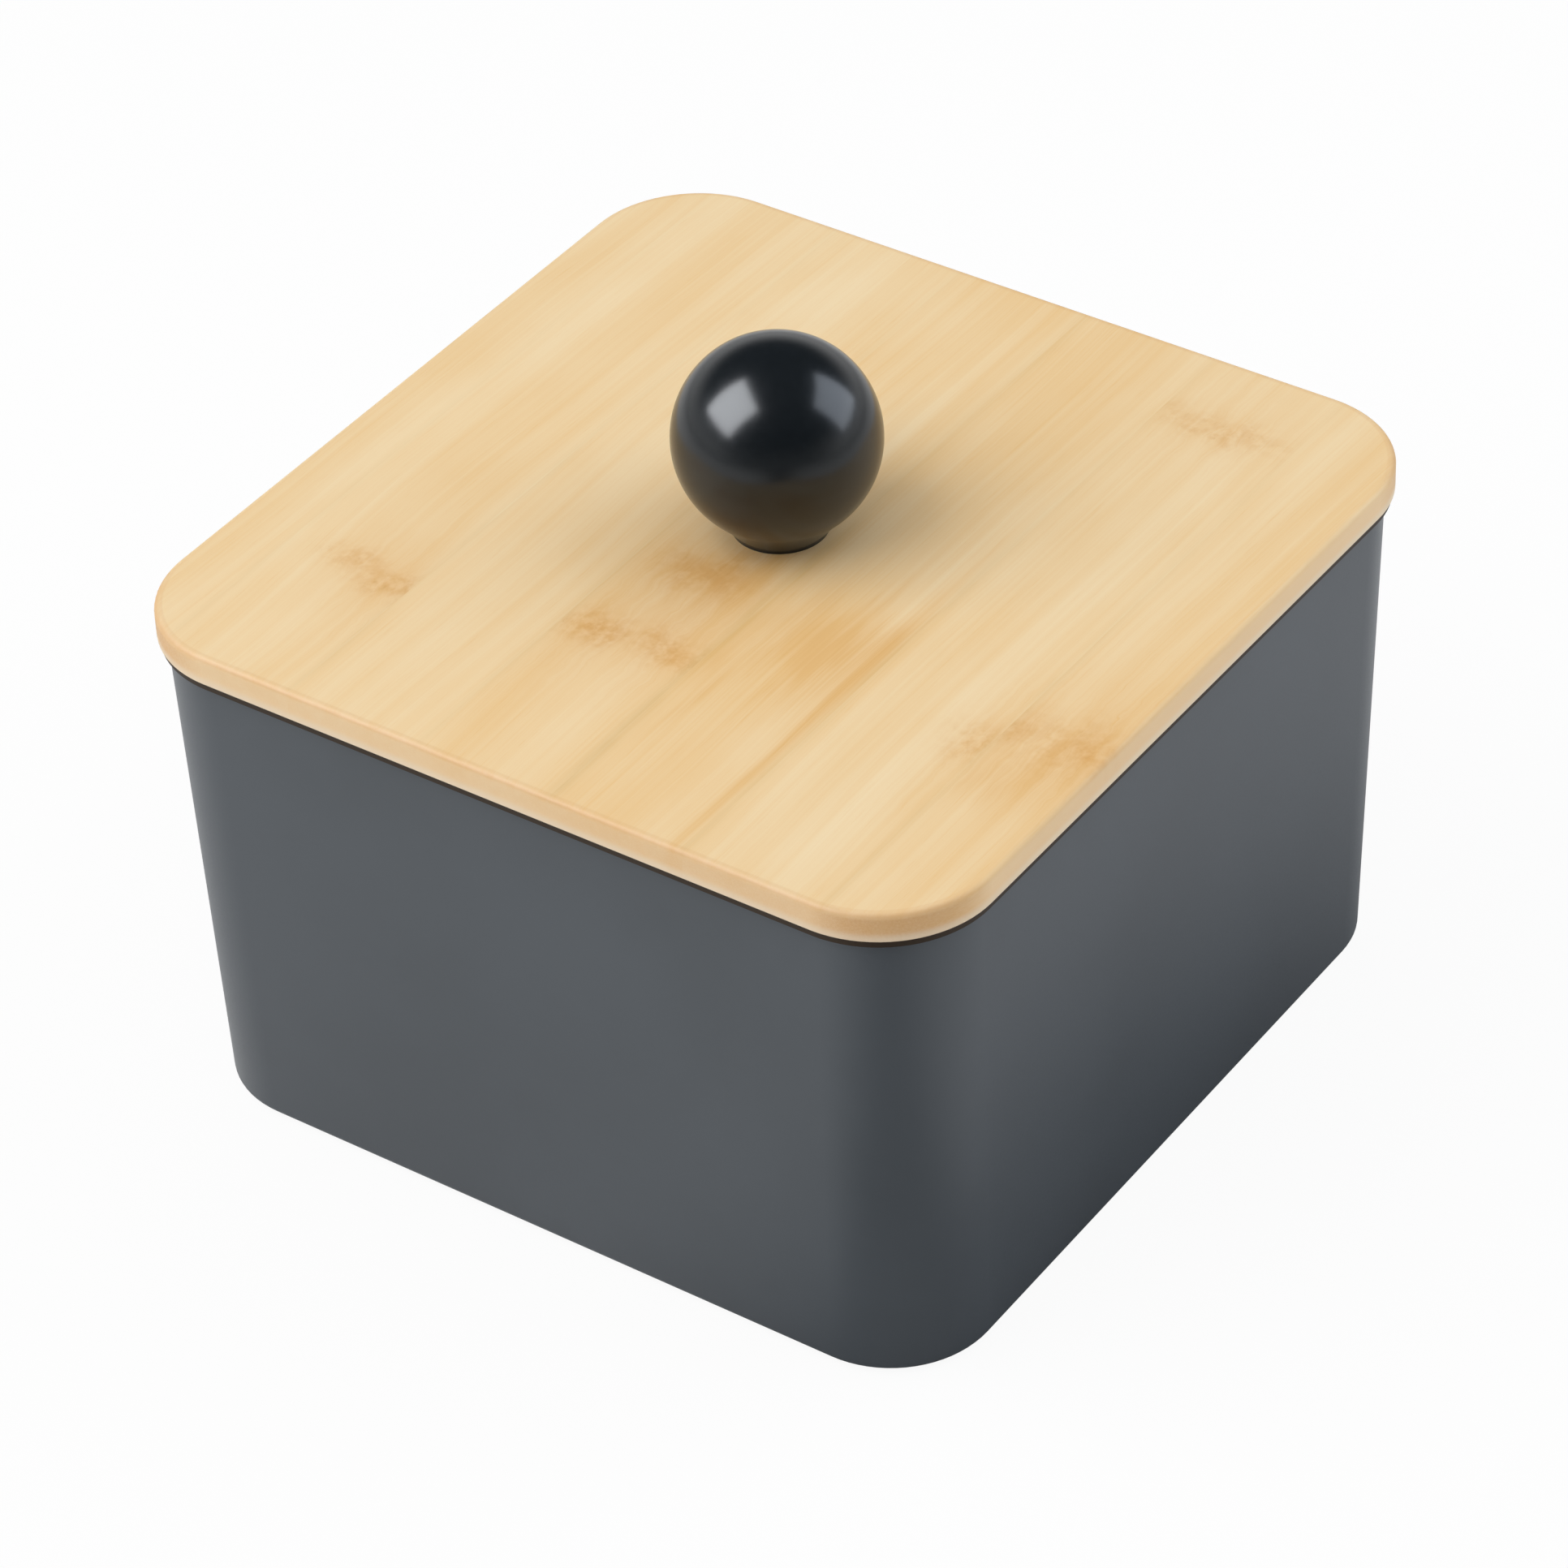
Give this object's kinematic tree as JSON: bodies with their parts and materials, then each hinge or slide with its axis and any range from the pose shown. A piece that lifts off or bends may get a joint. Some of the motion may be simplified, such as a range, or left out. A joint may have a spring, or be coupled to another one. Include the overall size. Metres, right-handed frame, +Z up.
{
  "type": "cosmetic organizer box",
  "caption": "Square moulded box with leaning walls and round corners, closed by a lift-off bamboo lid with an inner plug, a seal ring and a ball knob. Holds cosmetics and small things.",
  "frame": {"origin": "on the table under the middle of the box, in the plane of the four pads", "axes": "+Z up through the knob, the front wall faces -Y, the strips of the lid run along Y"},
  "size_m": [0.145, 0.145, 0.1233],
  "materials": {
    "box_plastic": "matt, finely textured mid grey moulding",
    "pad_rubber": "matt soft black",
    "bamboo": "satin lacquered caramel bamboo, strips along Y",
    "seal_silicone": "milky translucent silicone",
    "knob_plastic": "polished blue-black",
    "brass": "turned, bright",
    "zinc_steel": "bright zinc plated"
  },
  "bodies": {
    "box": {"box_body": "box_plastic", "foot_pad_1": "pad_rubber", "foot_pad_2": "pad_rubber", "foot_pad_3": "pad_rubber", "foot_pad_4": "pad_rubber"},
    "lid": {"lid_strip_1": "bamboo", "lid_strip_2": "bamboo", "lid_strip_3": "bamboo", "lid_strip_4": "bamboo", "lid_strip_5": "bamboo", "lid_strip_6": "bamboo", "lid_strip_7": "bamboo", "lid_seal": "seal_silicone", "ball_knob": "knob_plastic", "knob_bush": "brass", "knob_screw": "zinc_steel", "knob_washer": "zinc_steel"}
  },
  "joints": [
    {"name": "lid_lift", "type": "slide", "parent": "box", "child": "lid", "axis": [0, 0, 1], "range_m": [0, 0.12]}
  ]
}
